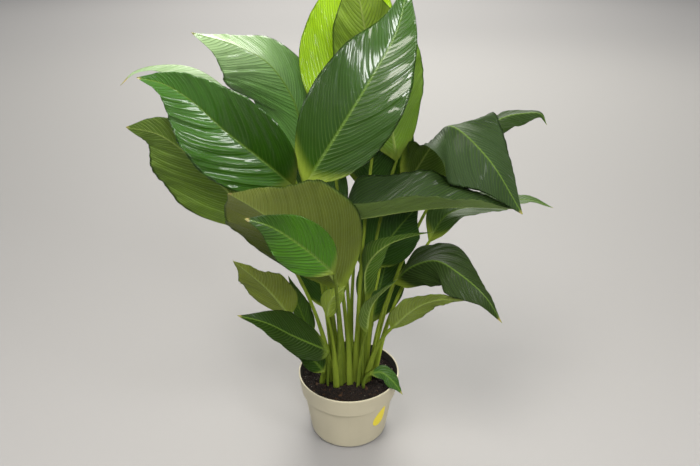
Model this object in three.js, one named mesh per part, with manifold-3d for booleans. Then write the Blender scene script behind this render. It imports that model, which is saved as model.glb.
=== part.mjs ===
// A peace lily in its nursery pot. Millimetres, +Z up, origin at the middle of the pot's foot,
// the plant's front towards -Y. Each leaf is one solid: its blade and its stalk grew as one piece.
import * as THREE from 'three';
import Module from 'manifold-3d';
import { mergeVertices } from 'three/addons/utils/BufferGeometryUtils.js';

const wasm = await Module();
wasm.setup();

// Pot: a moulded 19 cm nursery pot with a tall rim band.
const potHeight = 129;
const rimRadius = 95;
const bandHeight = 38;
const bandStep = 4.5;
const bodyTopRadius = 85.5;
const footRadius = 64;
const footFillet = 8;
const potWall = 2;
const lipWidth = 3;
const padRadius = 34;
const grooveRise = 4;
const grooveOuterRadius = 56;
const drainHoleRadius = 5;
const drainHoles = 8;
const potSides = 48;

// Potting soil: fills the pot to 16 mm under the rim and rises a little round the stalks.
const soilEdgeHeight = 113;
const soilMoundHeight = 119;
const soilGap = 0.3;
const plantingDepth = 8;
const pocketGap = 0.35;

// Leaves.
const stalkFootRadius = 3.6;
const stalkKneeRadius = 2.3;
const stalkSteps = 7;
const bladeThickness = 1.2;
const midribDepth = 1.6;
const sidesOfStalk = 10;
const bladeStations = [0, 0.03, 0.08, 0.16, 0.26, 0.37, 0.48, 0.59, 0.7, 0.8, 0.89, 0.96, 1];

// Sticker on the pot below the band: a drop shape, point up, turned towards the front right.
const stickerLength = 46;
const stickerWidth = 34;
const stickerThickness = 0.4;
const stickerGap = 0.35;
const stickerAzimuth = -44;
const stickerHeight = 66;
const stickerLean = 25;

// Each leaf: where its stalk leaves the soil, the points that its midrib passes from the knee
// at the top of the stalk to the tip, the way its upper side faces along the blade, the width of
// the blade, and the angle by which its left and right halves rise from flat, in degrees, at the
// base of the blade and, where it changes, at the tip. Where the halves aren't equal, each one's
// share of half the width is given too.
const leaves = {
  leaf_front_tall: {
    foot: [-7, -25],
    rib: [[-65, -95, 540], [-10, -85, 625], [35, -65, 695], [70, -40, 755], [85, -20, 820]],
    face: [[0.3, -1, 0.4], [0.2, -1, 0.5]],
    width: 134,
    fold: [-5, 18],
  },
  leaf_crown_young: {
    foot: [7, -10],
    rib: [[-35, 35, 595], [0, 80, 710], [45, 130, 850]],
    face: [[-0.1, -1, 0.2], [0, -1, 0.3]],
    width: 156,
    fold: [8, 8],
  },
  leaf_crown_back: {
    foot: [12, -24],
    rib: [[45, 15, 600], [30, 10, 720], [5, -15, 845]],
    face: [[0.1, 1, 0.2], [0, 1, 0.2]],
    width: 116,
    fold: [10, 10],
  },
  leaf_crown_right: {
    foot: [17, -14],
    rib: [[80, 30, 535], [70, 30, 610], [80, 35, 700], [95, 50, 780]],
    face: [[-0.2, 1, 0.2], [-0.2, 1, 0.2]],
    width: 108,
    fold: [8, 8],
  },
  leaf_left_high: {
    foot: [-20, 6],
    rib: [[-90, 70, 520], [-85, 70, 605], [-125, 60, 685], [-175, 40, 720], [-235, 5, 745]],
    face: [[0, -1, 0.4], [0, -1, 0.4]],
    width: 176,
    fold: [0, -40],
    tipFold: [0, -60],
    halves: [1, 0.7],
  },
  leaf_left_curled: {
    foot: [-30, -1],
    rib: [
      [-100, 15, 540], [-170, -5, 645], [-225, -30, 698],
      [-275, -45, 706], [-310, -55, 698], [-330, -60, 680],
    ],
    face: [[0, -0.5, 1], [0, -0.6, 1]],
    width: 88,
    fold: [5, -55],
  },
  leaf_left_glossy: {
    foot: [-24, -12],
    rib: [
      [-85, -50, 520], [-130, -70, 570], [-180, -85, 620],
      [-220, -95, 665], [-255, -100, 690], [-290, -105, 700],
    ],
    face: [[-0.1, -1, 0.7], [0, -0.8, 1]],
    width: 140,
    fold: [0, 50],
  },
  leaf_left_outer: {
    foot: [-30, -22],
    rib: [[-140, -20, 435], [-225, -35, 540], [-285, -45, 600], [-335, -50, 615]],
    face: [[0, 1, 0.2], [0.1, 1, 0.3]],
    width: 168,
    fold: [4, 3],
  },
  leaf_centre_broad: {
    foot: [2, -32],
    rib: [
      [-10, -75, 345], [-60, -120, 440], [-110, -175, 520],
      [-135, -215, 560], [-150, -245, 585],
    ],
    face: [[-0.1, 1, -0.2], [-0.1, 1, -0.1]],
    width: 196,
    fold: [0, 40],
  },
  leaf_front_young: {
    foot: [-15, -32],
    rib: [[-20, -205, 450], [-60, -225, 500], [-100, -245, 540], [-130, -255, 555]],
    face: [[-0.2, -1, 0.6], [0, -1, 0.7]],
    width: 74,
    fold: [5, 10],
  },
  leaf_left_low: {
    foot: [-44, -13],
    rib: [[-100, -65, 290], [-130, -90, 355], [-155, -115, 400], [-175, -130, 430]],
    face: [[0.1, 1, 0.3], [0.1, 1, 0.4]],
    width: 82,
    fold: [4, 8],
  },
  leaf_left_dark: {
    foot: [-39, -28],
    rib: [[-35, -62, 215], [-90, -105, 275], [-130, -140, 325], [-170, -158, 350]],
    face: [[0, -0.5, 1], [0, -0.7, 1]],
    width: 80,
    fold: [8, 8],
  },
  leaf_left_small: {
    foot: [-49, -24],
    rib: [[-45, -35, 150], [-70, -45, 190], [-105, -60, 225]],
    face: [[-0.2, -0.7, 0.8], [0, -0.6, 1]],
    width: 40,
    fold: [5, 5],
  },
  leaf_left_narrow: {
    foot: [-38, 9],
    rib: [[-70, 5, 200], [-90, -5, 270], [-105, -15, 340]],
    face: [[0.7, -0.8, 0.3], [0.7, -0.8, 0.3]],
    width: 42,
    fold: [20, 20],
  },
  leaf_front_curled: {
    foot: [-23, -38],
    rib: [[-35, -85, 300], [-30, -95, 335], [-5, -110, 375]],
    face: [[0.4, 1, 0.3], [0.3, 1, 0.2]],
    width: 36,
    fold: [10, 20],
  },
  leaf_right_folded: {
    foot: [1, -18],
    rib: [
      [-26, -48, 427], [0, -75, 470], [48, -85, 485],
      [110, -85, 495], [175, -75, 495], [265, -60, 485],
    ],
    face: [[0, -0.2, 1], [0, -0.2, 1]],
    width: 118,
    fold: [38, 55],
    halves: [1.12, 0.95],
  },
  leaf_right_drooping: {
    foot: [30, -4],
    rib: [
      [94, 66, 470], [119, 68, 510], [140, 54, 555],
      [162, 12, 600], [215, -45, 565], [270, -80, 485],
    ],
    face: [[-0.2, 1, 0.3], [-0.5, 0.1, 0.9], [0.2, -1, 0.5]],
    width: 152,
    fold: [-22, -20],
    halves: [1, 1.22],
  },
  leaf_right_high: {
    foot: [44, 14],
    rib: [[215, 120, 535], [270, 128, 580], [310, 128, 590], [340, 122, 590], [350, 112, 573]],
    face: [[-0.3, -0.5, 0.8], [0.3, -0.9, 0.5]],
    width: 60,
    fold: [-50, 0],
  },
  leaf_right_reaching: {
    foot: [50, -4],
    rib: [[145, 40, 380], [175, 55, 425], [255, 70, 440], [325, 75, 445], [370, 75, 430]],
    face: [[0, -0.2, 1], [0, -0.2, 1]],
    width: 75,
    fold: [5, 10],
  },
  leaf_right_narrow: {
    foot: [23, -24],
    rib: [[30, -45, 310], [30, -50, 375], [60, -60, 420], [100, -65, 440], [135, -70, 450]],
    face: [[0.8, 0.5, 0.6], [0, 0.4, 1]],
    width: 46,
    fold: [30, 30],
  },
  leaf_right_low: {
    foot: [40, -13],
    rib: [
      [80, -5, 320], [105, -25, 362], [145, -50, 388],
      [180, -80, 380], [220, -100, 350], [250, -110, 305],
    ],
    face: [[-0.3, -0.6, 1], [0.5, -0.8, 0.6]],
    width: 96,
    fold: [-35, -12],
  },
  leaf_right_pale: {
    foot: [34, -24],
    rib: [[75, -50, 255], [110, -75, 310], [140, -90, 335], [190, -105, 345]],
    face: [[-0.1, 1, 0.4], [-0.1, 1, 0.4]],
    width: 58,
    fold: [0, 5],
  },
  leaf_front_folded: {
    foot: [18, -33],
    rib: [[30, -70, 260], [40, -75, 320], [80, -80, 370]],
    face: [[-0.8, 0.5, 0.6], [-0.8, 0.3, 0.6]],
    width: 40,
    fold: [30, 30],
  },
  leaf_inner_right: {
    foot: [27, -14],
    rib: [[45, 15, 340], [65, 15, 385], [90, 20, 420], [120, 25, 455]],
    face: [[-0.3, -0.8, 0.4], [-0.3, -0.8, 0.4]],
    width: 100,
    fold: [10, 10],
  },
  leaf_inner_front: {
    foot: [16, 0],
    rib: [[35, 55, 475], [40, 55, 540], [50, 70, 605]],
    face: [[0, -1, 0.3], [0, -1, 0.3]],
    width: 80,
    fold: [10, 10],
  },
  leaf_inner_back: {
    foot: [23, 11],
    rib: [[80, 80, 455], [92, 85, 515], [112, 90, 580]],
    face: [[0, -1, 0.3], [0, -1, 0.3]],
    width: 50,
    fold: [5, 5],
  },
  leaf_rim_small: {
    foot: [27, -36],
    rib: [[40, -40, 150], [60, -40, 152], [80, -52, 142], [98, -66, 122]],
    face: [[0, -0.3, 1], [0.6, -0.5, 0.6]],
    width: 34,
    fold: [-10, -10],
  },
  leaf_soil_left: {
    foot: [-46, -1],
    rib: [[-50, -2, 135], [-65, 0, 145], [-85, -5, 142]],
    face: [[-0.2, -0.5, 1], [0, -0.5, 1]],
    width: 30,
    fold: [5, 5],
  },
  leaf_back_left: {
    foot: [-12, 16],
    rib: [[-35, 60, 380], [-60, 110, 470], [-85, 160, 530], [-105, 200, 540]],
    face: [[0, -0.6, 0.8], [0.2, -0.3, 1]],
    width: 110,
    fold: [8, 8],
  },
  leaf_back_right: {
    foot: [13, 18],
    rib: [[35, 60, 300], [60, 100, 375], [85, 145, 435], [105, 185, 450]],
    face: [[-0.2, -0.6, 0.8], [-0.2, -0.3, 1]],
    width: 118,
    fold: [8, 8],
  },
  leaf_back_low_left: {
    foot: [-24, 18],
    rib: [[-32, 52, 225], [-52, 85, 300], [-78, 115, 350], [-104, 142, 362]],
    face: [[0.2, -0.5, 0.8], [0.2, -0.3, 1]],
    width: 108,
    fold: [5, 5],
  },
  leaf_back_low_right: {
    foot: [34, 18],
    rib: [[45, 55, 200], [62, 82, 270], [82, 108, 330], [108, 135, 345]],
    face: [[-0.2, -0.5, 0.8], [-0.2, -0.3, 1]],
    width: 100,
    fold: [5, 5],
  },
  leaf_back_tall: {
    foot: [2, 8],
    rib: [[20, 80, 470], [30, 115, 580], [40, 145, 680], [50, 165, 760]],
    face: [[0, -1, 0.3], [0, -1, 0.4]],
    width: 105,
    fold: [8, 8],
  },
};

const matte = (color, roughness) => new THREE.MeshStandardMaterial({ color, roughness, metalness: 0 });
const degrees = THREE.MathUtils.degToRad;
const vector = (point) => new THREE.Vector3(...point);

// A closed mesh out of rings of points, all with the same number of points, and its two end caps.
// The second half of each ring is split along the other diagonal, so that the two sides of a blade
// have the same creases.
function meshFromRings(rings) {
  const count = rings[0].length;
  const points = rings.flat();
  const first = points.push(centreOf(rings[0])) - 1;
  const last = points.push(centreOf(rings.at(-1))) - 1;
  const faces = [];
  for (let r = 0; r < rings.length - 1; r += 1) {
    for (let k = 0; k < count; k += 1) {
      const a = r * count + k;
      const b = r * count + ((k + 1) % count);
      if (k < count / 2) {
        faces.push(a, a + count, b + count, a, b + count, b);
      } else {
        faces.push(a, a + count, b, b, a + count, b + count);
      }
    }
  }
  const end = (rings.length - 1) * count;
  for (let k = 0; k < count; k += 1) {
    const next = (k + 1) % count;
    faces.push(first, k, next, last, end + next, end + k);
  }
  const geometry = new THREE.BufferGeometry();
  const positions = points.flatMap((point) => point.toArray());
  geometry.setAttribute('position', new THREE.Float32BufferAttribute(positions, 3));
  geometry.setIndex(signedVolume(points, faces) < 0 ? turnedOver(faces) : faces);
  geometry.computeVertexNormals();
  return geometry;
}

function turnedOver(faces) {
  return faces.map((_, i) => faces[i - (i % 3) + [0, 2, 1][i % 3]]);
}

function centreOf(ring) {
  const centre = new THREE.Vector3();
  ring.forEach((point) => centre.add(point));
  return centre.divideScalar(ring.length);
}

function signedVolume(points, faces) {
  let volume = 0;
  for (let i = 0; i < faces.length; i += 3) {
    const [a, b, c] = [points[faces[i]], points[faces[i + 1]], points[faces[i + 2]]];
    volume += a.dot(new THREE.Vector3().crossVectors(b, c)) / 6;
  }
  return volume;
}

function toManifold(geometry) {
  const bare = geometry.clone();
  bare.deleteAttribute('normal');
  bare.deleteAttribute('uv');
  const merged = mergeVertices(bare, 1e-4);
  const vertProperties = new Float32Array(merged.attributes.position.array);
  const triVerts = new Uint32Array(merged.index.array);
  return new wasm.Manifold(new wasm.Mesh({ numProp: 3, vertProperties, triVerts }));
}

function fromManifold(solid) {
  const mesh = solid.getMesh();
  const geometry = new THREE.BufferGeometry();
  geometry.setAttribute('position', new THREE.BufferAttribute(mesh.vertProperties, 3));
  geometry.setIndex(new THREE.BufferAttribute(mesh.triVerts, 1));
  geometry.computeVertexNormals();
  return geometry;
}

// A turned solid: the profile goes round the material from the axis back to the axis.
function turned(profile, sides) {
  const geometry = new THREE.LatheGeometry(profile.map(([r, z]) => new THREE.Vector2(r, z)), sides);
  geometry.rotateX(Math.PI / 2);
  return geometry;
}

function cylinderAt(x, y, low, high, radius, sides) {
  return wasm.Manifold.cylinder(high - low, radius, radius, sides).translate([x, y, low]);
}

// The pot's outer radius at a height: a straight taper, and above it the rim band.
const bandBottom = potHeight - bandHeight;
const bodyFootRadius = footRadius + footFillet;
const outerTaper = (z) => bodyFootRadius + (bodyTopRadius - bodyFootRadius) * (z / bandBottom);
const bandBottomRadius = bodyTopRadius + bandStep;

function potGeometry() {
  const floorTop = grooveRise + potWall;
  const fillet = [];
  for (const angle of [0, 30, 60, 90]) {
    const turn = degrees(angle);
    fillet.push([
      footRadius + (outerTaper(footFillet) - footRadius) * Math.sin(turn),
      footFillet * (1 - Math.cos(turn)),
    ]);
  }
  const profile = [
    [0, 0],
    [padRadius, 0],
    [padRadius + 2, grooveRise],
    [grooveOuterRadius, grooveRise],
    [grooveOuterRadius + 2, 0],
    ...fillet,
    [bodyTopRadius, bandBottom],
    [bandBottomRadius, bandBottom + 1],
    [rimRadius - 0.6, potHeight - 1.5],
    [rimRadius, potHeight - 0.7],
    [rimRadius - 0.8, potHeight],
    [rimRadius - lipWidth, potHeight],
    [rimRadius - lipWidth - 0.4, potHeight - 2],
    [bandBottomRadius - potWall - 1, bandBottom + 3],
    [bodyTopRadius - potWall, bandBottom - 1],
    [outerTaper(footFillet) - potWall - 2, floorTop + 3],
    [outerTaper(footFillet) - potWall - 6, floorTop],
    [0, floorTop],
  ];
  let pot = toManifold(turned(profile, potSides));
  const holeCircle = (padRadius + grooveOuterRadius) / 2 + 1;
  for (let i = 0; i < drainHoles; i += 1) {
    const turn = degrees((i + 0.5) * (360 / drainHoles));
    const [x, y] = [holeCircle * Math.cos(turn), holeCircle * Math.sin(turn)];
    pot = pot.subtract(cylinderAt(x, y, -1, floorTop + 1, drainHoleRadius, 12));
  }
  return fromManifold(pot);
}

// The soil's rings follow the inside of the pot, and its top rises from the edge to the stalks.
function soilGeometry() {
  const floorTop = grooveRise + potWall + soilGap;
  const footInside = outerTaper(footFillet) - potWall - 6 - soilGap;
  const edgeRadius = bandBottomRadius - potWall - 1 - soilGap;
  const mound = soilMoundHeight - soilEdgeHeight;
  const top = (r) => soilEdgeHeight + mound * Math.cos((Math.PI / 2) * (r / edgeRadius)) ** 1.5;
  const profile = [
    [0, floorTop],
    [footInside, floorTop],
    [footInside + 3.8, floorTop + 3.2],
    [bodyTopRadius - potWall - soilGap, bandBottom - 1],
    [edgeRadius, bandBottom + 3],
    [edgeRadius + 0.8, soilEdgeHeight],
    [72, top(72)],
    [56, top(56)],
    [28, top(28)],
    [0, top(0)],
  ];
  let soil = toManifold(turned(profile, potSides));
  const pocketRadius = (stalkFootRadius + pocketGap) / Math.cos(Math.PI / sidesOfStalk);
  for (const { foot } of Object.values(leaves)) {
    const low = soilMoundHeight - plantingDepth - pocketGap;
    const high = soilMoundHeight + 5;
    soil = soil.subtract(cylinderAt(foot[0], foot[1], low, high, pocketRadius, sidesOfStalk));
  }
  return fromManifold(soil);
}

// Half the width of the blade at u, from 0 at the knee to 1 at the tip: a sine hump, fullest in
// the lower half, drawn out to a long point.
function halfWidth(u, width) {
  const hump = Math.sin(Math.PI * u ** 0.53) ** 0.78;
  const drawnOut = 1 - 0.5 * Math.max((u - 0.5) / 0.5, 0) ** 1.3;
  return Math.max((width / 2) * hump * drawnOut, 0) || 0;
}

const mixed = (list, u) => {
  const place = u * (list.length - 1);
  const i = Math.min(Math.floor(place), list.length - 2);
  return vector(list[i]).normalize().lerp(vector(list[i + 1]).normalize(), place - i);
};

// A point of the blade at u along the midrib and v across, from -1 to 1, raised by lift from the
// blade's middle surface. The cross lines run as the side veins do: out from the midrib and
// ahead, towards the tip.
function bladePoint(leaf, curve, u, v, lift) {
  const along = curve.getTangentAt(u);
  const normal = upperSide(leaf, along, u);
  const right = new THREE.Vector3().crossVectors(along, normal);
  const reach = Math.abs(v);
  const side = v < 0 ? 0 : 1;
  const half = Math.max(halfWidth(u, leaf.width), 0.8) * (leaf.halves?.[side] ?? 1);
  const tipFold = leaf.tipFold ?? leaf.fold;
  const fold = v === 0 ? 0 : degrees(leaf.fold[side] * (1 - u) + tipFold[side] * u);
  const ahead = 0.3 * reach + 0.35 * reach ** 2;
  const wave = Math.sin(Math.PI * u) * Math.sin(16.3 * u + 1.7 * side);
  const ripple = 0.03 * leaf.width * reach ** 2 * wave;
  return curve.getPointAt(u)
    .addScaledVector(right, half * v * Math.cos(fold) - Math.sign(v) * lift * Math.sin(fold))
    .addScaledVector(normal, half * reach * Math.sin(fold) + ripple + lift * Math.cos(fold))
    .addScaledVector(along, half * ahead);
}

function upperSide(leaf, along, u) {
  const face = mixed(leaf.face, u);
  return face.addScaledVector(along, -face.dot(along)).normalize();
}

// Ten points round the blade: five across its upper side and five back across its underside.
function bladeRing(leaf, curve, u) {
  const nearKnee = Math.max(1 - u / 0.08, 0);
  const thickness = bladeThickness / 2 + nearKnee * (stalkKneeRadius - bladeThickness / 2);
  const rib = midribDepth * (1 - u) ** 1.5 * (1 - nearKnee);
  const across = [1, 0.5, 0, -0.5, -1];
  const upper = across.map((v) => bladePoint(leaf, curve, u, v, thickness));
  const lower = across.map((v) => bladePoint(leaf, curve, u, v, -thickness - (v === 0 ? rib : 0)));
  return [...upper, ...lower.reverse()];
}

function roundRing(centre, normal, right, radius) {
  const ring = [];
  for (let k = 0; k < sidesOfStalk; k += 1) {
    const turn = ((k + 0.5) / sidesOfStalk) * 2 * Math.PI;
    ring.push(centre.clone()
      .addScaledVector(right, radius * Math.cos(turn))
      .addScaledVector(normal, radius * Math.sin(turn)));
  }
  return ring;
}

// The stalk stands straight in the soil and then leans over to the knee along a curve. Its rings
// start from the blade's frame and are carried down the stalk without twisting.
function stalkRings(leaf, curve) {
  const knee = curve.getPointAt(0);
  const buried = new THREE.Vector3(...leaf.foot, soilMoundHeight - plantingDepth);
  const start = new THREE.Vector3(...leaf.foot, soilMoundHeight + 4);
  const lean = knee.clone().sub(start);
  const bend = start.clone().add(new THREE.Vector3(0.2 * lean.x, 0.2 * lean.y, 0.6 * lean.z));
  const line = new THREE.QuadraticBezierCurve3(start, bend, knee);
  let along = curve.getTangentAt(0);
  let normal = upperSide(leaf, along, 0);
  const rings = [];
  for (let i = 0; i < stalkSteps; i += 1) {
    const t = 1 - (i + 1) / stalkSteps;
    const direction = t > 0 ? line.getTangentAt(t) : new THREE.Vector3(0, 0, 1);
    normal.applyQuaternion(new THREE.Quaternion().setFromUnitVectors(along, direction));
    along = direction;
    const right = new THREE.Vector3().crossVectors(along, normal);
    const radius = stalkFootRadius + (stalkKneeRadius - stalkFootRadius) * t;
    rings.unshift(roundRing(line.getPointAt(t), normal, right, radius));
    if (t === 0) {
      rings.unshift(roundRing(buried, normal, right, stalkFootRadius));
    }
  }
  return rings;
}

function leafGeometry(leaf) {
  const curve = new THREE.CatmullRomCurve3(leaf.rib.map(vector), false, 'centripetal');
  const along = curve.getTangentAt(0);
  const normal = upperSide(leaf, along, 0);
  const right = new THREE.Vector3().crossVectors(along, normal);
  const kneeRing = roundRing(curve.getPointAt(0), normal, right, stalkKneeRadius);
  const blade = bladeStations.slice(1).map((u) => bladeRing(leaf, curve, u));
  return meshFromRings([...stalkRings(leaf, curve), kneeRing, ...blade]);
}

// The sticker is a drop: a round end below and a point above, laid round the pot's taper.
function stickerGeometry() {
  const steps = 16;
  const outline = [];
  for (let k = 0; k < steps; k += 1) {
    const turn = (k / steps) * 2 * Math.PI;
    const across = (stickerWidth / 2) * Math.sin(turn) * Math.sin(turn / 2);
    outline.push([across, (stickerLength / 2) * Math.cos(turn)]);
  }
  const lean = degrees(stickerLean);
  const onPot = ([across, up], lift, shrink) => {
    const x = shrink * (across * Math.cos(lean) + up * Math.sin(lean));
    const z = stickerHeight + shrink * (up * Math.cos(lean) - across * Math.sin(lean));
    const radius = outerTaper(z) + stickerGap + lift;
    const turn = degrees(stickerAzimuth) + x / radius;
    return new THREE.Vector3(radius * Math.cos(turn), radius * Math.sin(turn), z);
  };
  const ring = (lift, shrink) => outline.map((point) => onPot(point, lift, shrink));
  return meshFromRings([
    ring(0, 0.05), ring(0, 0.5), ring(0, 1), ring(stickerThickness, 1), ring(stickerThickness, 0.5),
    ring(stickerThickness, 0.05),
  ]);
}

const group = new THREE.Group();
group.name = 'potted_peace_lily';

function add(name, geometry, material) {
  const mesh = new THREE.Mesh(geometry, material);
  mesh.name = name;
  group.add(mesh);
}

add('pot', potGeometry(), matte('#b5aa94', 0.6));
add('potting_soil', soilGeometry(), matte('#241d19', 0.95));
add('sticker', stickerGeometry(), matte('#d8b81f', 0.5));
for (const [name, leaf] of Object.entries(leaves)) {
  const fresh = name.endsWith('_young') || name === 'leaf_front_curled';
  add(name, leafGeometry(leaf), matte(fresh ? '#7fae25' : '#2f5c24', 0.4));
}

export default group;
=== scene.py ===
import math

import bpy
import numpy as np
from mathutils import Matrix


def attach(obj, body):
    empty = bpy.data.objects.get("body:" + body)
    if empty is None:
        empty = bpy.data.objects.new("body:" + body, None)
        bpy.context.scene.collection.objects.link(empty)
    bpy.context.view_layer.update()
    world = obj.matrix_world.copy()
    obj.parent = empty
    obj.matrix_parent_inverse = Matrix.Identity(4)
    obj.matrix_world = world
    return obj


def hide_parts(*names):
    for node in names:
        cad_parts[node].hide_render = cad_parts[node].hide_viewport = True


# A peace lily in its nursery pot: stalks and blades grown leaf by leaf, peat soil, a moulded pot
# and a drop-shaped sticker. Metres, +Z up, the plant's front towards -Y.

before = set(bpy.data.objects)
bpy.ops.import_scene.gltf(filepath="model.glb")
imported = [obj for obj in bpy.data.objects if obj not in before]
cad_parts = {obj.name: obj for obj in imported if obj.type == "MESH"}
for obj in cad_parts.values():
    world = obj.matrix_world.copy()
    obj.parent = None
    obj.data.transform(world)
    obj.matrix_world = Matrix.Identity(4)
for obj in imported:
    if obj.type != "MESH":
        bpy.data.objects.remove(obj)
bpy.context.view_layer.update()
mm = 0.001


# An sRGB hex colour as linear red, green, blue: c/12.92 below 0.04045, else ((c+0.055)/1.055)^2.4.
def linear(hexColour):
    parts = np.array([int(hexColour[i : i + 2], 16) for i in (1, 3, 5)]) / 255
    return np.where(parts < 0.04045, parts / 12.92, ((parts + 0.055) / 1.055) ** 2.4)


# 0 below low, 1 above high, and 3t^2 - 2t^3 between them.
def smoothStep(low, high, value):
    t = np.clip((value - low) / (high - low), 0, 1)
    return t * t * (3 - 2 * t)


# Each vector over its own length.
def unit(vectors):
    return vectors / np.linalg.norm(vectors, axis=-1, keepdims=True)


# Smooth uneven values near -1 to 1: the mean of count plane waves sin(k.p + phase), with k in a
# random direction and 2 pi / k a little over or under size.
def waves(points, size, count, seed):
    rng = np.random.default_rng(seed)
    k = unit(rng.normal(size=(count, points.shape[-1]))) * 2 * np.pi / size
    k *= rng.uniform(0.7, 1.6, (count, 1))
    return np.sin(points @ k.T + rng.uniform(0, 6.28, count)).sum(-1) * (2 / count) ** 0.5


# Centripetal Catmull-Rom curve through the points, sampled at shares u of its length: between two
# points, the three pyramid levels of Barry and Goldman with knots a root of the chord apart.
def throughPoints(points, u):
    p = np.array(points, float)
    p = np.vstack([2 * p[0] - p[1], p, 2 * p[-1] - p[-2]])
    knots = np.concatenate([[0], np.cumsum(np.linalg.norm(np.diff(p, axis=0), axis=1) ** 0.5)])
    t = np.linspace(knots[1], knots[-2], 600)
    i = np.clip(np.searchsorted(knots, t, "right") - 1, 1, len(p) - 3)

    def level(a, b, first, last):
        share = ((t - knots[i + first]) / (knots[i + last] - knots[i + first]))[:, None]
        return a * (1 - share) + b * share

    a1, a2, a3 = (level(p[i + k], p[i + k + 1], k, k + 1) for k in (-1, 0, 1))
    b1, b2 = level(a1, a2, -1, 1), level(a2, a3, 0, 2)
    fine = level(b1, b2, 0, 1)
    run = np.concatenate([[0], np.cumsum(np.linalg.norm(np.diff(fine, axis=0), axis=1))])

    def at(share):
        return np.stack([np.interp(share * run[-1], run, fine[:, k]) for k in range(3)], -1)

    ahead, behind = np.clip(u + 0.01, 0, 1), np.clip(u - 0.01, 0, 1)
    return at(u), unit(at(ahead) - at(behind)), run[-1]


# A closed mesh object that rides on the root body. Rings are rows of points, all as long as each
# other, and each row closes on itself. A fan closes the first and the last row. The second half of
# each row starts its quads one corner on, so that both sides of a blade split alike.
def pieceFromRings(name, rings, materials, faceSlots=None, attributes=None):
    rows, count = rings.shape[:2]
    points = rings.reshape(-1, 3)
    row, column = np.meshgrid(np.arange(rows - 1), np.arange(count), indexing="ij")
    nextColumn = (column + 1) % count
    here, ahead = row * count, (row + 1) * count
    quads = np.stack([here + column, here + nextColumn, ahead + nextColumn, ahead + column], -1)
    quads = np.where((column >= count / 2)[..., None], np.roll(quads, -1, -1), quads).reshape(-1, 4)
    points = np.vstack([points, rings[0].mean(0), rings[-1].mean(0)])
    around = np.arange(count)
    following = (around + 1) % count
    last = (rows - 1) * count
    triangles = np.vstack(
        [
            np.stack([np.full(count, rows * count), following, around], -1),
            np.stack([np.full(count, rows * count + 1), last + around, last + following], -1),
        ]
    )
    mesh = bpy.data.meshes.new(name)
    mesh.vertices.add(len(points))
    mesh.vertices.foreach_set("co", points.ravel())
    mesh.loops.add(quads.size + triangles.size)
    mesh.loops.foreach_set("vertex_index", np.concatenate([quads.ravel(), triangles.ravel()]))
    mesh.polygons.add(len(quads) + len(triangles))
    starts = np.concatenate([np.arange(len(quads)) * 4, quads.size + np.arange(len(triangles)) * 3])
    mesh.polygons.foreach_set("loop_start", starts)
    slots = np.zeros(len(starts), int)
    if faceSlots is not None:
        slots[: len(quads)] = faceSlots.reshape(-1)
    for material in materials:
        mesh.materials.append(material)
    mesh.polygons.foreach_set("material_index", slots)
    mesh.polygons.foreach_set("use_smooth", np.ones(len(starts), bool))
    for label, values in (attributes or {}).items():
        values = values.reshape(rows * count, -1)
        values = np.vstack([values, values[:count].mean(0), values[-count:].mean(0)])
        kind = "FLOAT_COLOR" if values.shape[1] == 4 else "FLOAT"
        layer = mesh.attributes.new(label, kind, "POINT")
        layer.data.foreach_set("color" if kind == "FLOAT_COLOR" else "value", values.ravel())
    mesh.update(calc_edges=True)
    mesh.validate()
    piece = bpy.data.objects.new(name, mesh)
    bpy.context.scene.collection.objects.link(piece)
    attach(piece, "root")
    return piece


# Adds a node to a material, with its settings as words and its inputs by name or number: a value,
# or another node's output socket.
def addNode(tree, kind, inputs=None, **settings):
    node = tree.nodes.new(kind)
    for key, value in settings.items():
        setattr(node, key, value)
    for key, value in (inputs or {}).items():
        if isinstance(value, bpy.types.NodeSocket):
            tree.links.new(value, node.inputs[key])
        else:
            node.inputs[key].default_value = value
    return node


# An empty material and its node tree.
def newMaterial(name):
    material = bpy.data.materials.new(name)
    material.use_nodes = True
    material.node_tree.nodes.clear()
    return material, material.node_tree


# The linear colour with an alpha of 1, as a socket takes it.
def rgba(hexColour):
    return (*linear(hexColour), 1)


# Joins the shader to the material's output.
def finishMaterial(tree, shaderOutput):
    output = addNode(tree, "ShaderNodeOutputMaterial")
    tree.links.new(shaderOutput, output.inputs["Surface"])


# A value read from the piece's own vertices.
def attributeValue(tree, label, output="Fac"):
    return addNode(tree, "ShaderNodeAttribute", attribute_name=label).outputs[output]


# One arithmetic node, named by its operation.
def calculate(tree, operation, *values):
    return addNode(tree, "ShaderNodeMath", dict(enumerate(values)), operation=operation).outputs[0]


# first times (1 - share) plus second times share.
def mixColours(tree, share, first, second):
    return addNode(tree, "ShaderNodeMix", {0: share, 6: first, 7: second}, data_type="RGBA").outputs[2]


# Noise over Object coordinates, in metres; scale is 1 / (size of a patch in metres).
def noise(tree, patchSize, detail=3.0, roughness=0.55, stretch=None):
    place = addNode(tree, "ShaderNodeTexCoord").outputs["Object"]
    if stretch is not None:
        place = addNode(tree, "ShaderNodeMapping", {"Vector": place, "Scale": stretch}).outputs[0]
    inputs = {"Vector": place, "Scale": 1 / patchSize, "Detail": detail, "Roughness": roughness}
    return addNode(tree, "ShaderNodeTexNoise", inputs).outputs["Fac"]


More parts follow.
